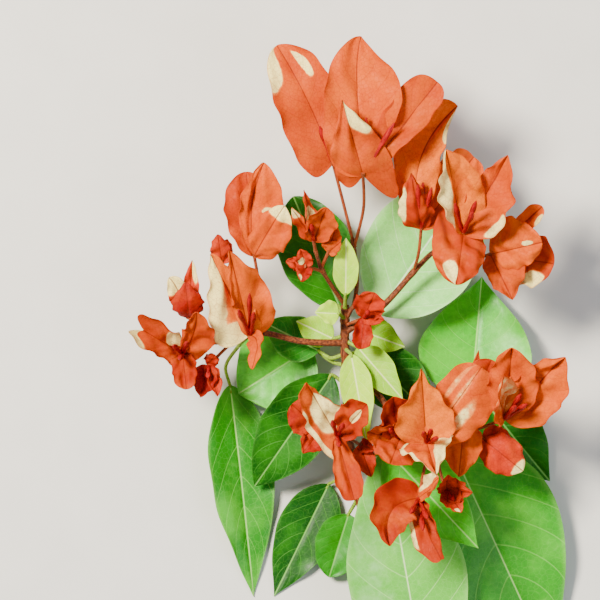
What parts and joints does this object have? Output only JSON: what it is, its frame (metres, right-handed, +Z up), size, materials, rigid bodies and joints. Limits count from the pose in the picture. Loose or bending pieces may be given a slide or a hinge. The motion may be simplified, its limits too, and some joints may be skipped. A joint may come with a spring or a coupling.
{
  "type": "flowering bougainvillea branch",
  "caption": "Cut flowering bougainvillea branch lying on its back: stem, twigs, heart-shaped leaves and papery orange three-bract blooms.",
  "frame": {"origin": "middle of the branch's underside, on the surface that it lies on", "axes": "+Y along the branch from its cut end to its top, +Z up, +X to the right as seen from above with the top away"},
  "size_m": [0.1576, 0.2384, 0.0681],
  "materials": {
    "stem": "fine reddish-brown bark, slightly ribbed",
    "leaf": "fresh waxy leaf with a lighter midrib and side veins",
    "pale_leaf": "pale waxy leaf with light veins",
    "young_leaf": "soft yellow-green young leaf",
    "bract": "thin papery orange bract with a fine net of veins",
    "flower_tube": "downy crimson flower tube",
    "stalk": "slender downy flower and leaf stalk"
  },
  "bodies": {
    "root": {"main_stem": "stem", "twig_left": "stem", "twig_buds": "stem", "twig_top": "stem", "twig_right": "stem", "twig_lower": "stem", "leaf_big_pale": "pale_leaf", "leaf_over_pale": "leaf", "leaf_big_right": "leaf", "leaf_behind_right": "leaf", "leaf_dark_left": "leaf", "leaf_round_low": "leaf", "leaf_low_dark": "leaf", "leaf_pale_right": "pale_leaf", "leaf_right": "leaf", "leaf_behind_buds": "leaf", "leaf_young_crisp": "young_leaf", "leaf_young_folded": "young_leaf", "leaf_left_green": "leaf", "leaf_left_young": "young_leaf", "leaf_left_behind": "leaf", "leaf_left_long": "leaf", "leaf_centre_young": "young_leaf", "leaf_by_stem": "young_leaf", "leaf_centre_low": "young_leaf", "leaf_centre_dark": "leaf", "bloom_top_left": "bract", "bloom_top": "bract", "bloom_right_upper": "bract", "bloom_right_middle": "bract", "bloom_right_low": "bract", "bloom_left_high": "bract", "bloom_left_middle": "bract", "bloom_left_low": "bract", "bloom_left_half_closed": "bract", "bloom_left_small": "bract", "bud_left": "bract", "bud_upper": "bract", "bud_upper_right": "bract", "bud_upper_left": "bract", "bloom_centre_small": "bract", "bloom_lower_left": "bract", "bloom_lower_left_behind": "bract", "bud_lower_small": "bract", "bloom_lower_centre": "bract", "bloom_lower_centre_left": "bract", "bloom_lower_behind": "bract", "bloom_lower_right": "bract", "bloom_lower_right_small": "bract", "bloom_hanging_left": "bract", "bud_hanging_right": "bract"}
  },
  "joints": []
}
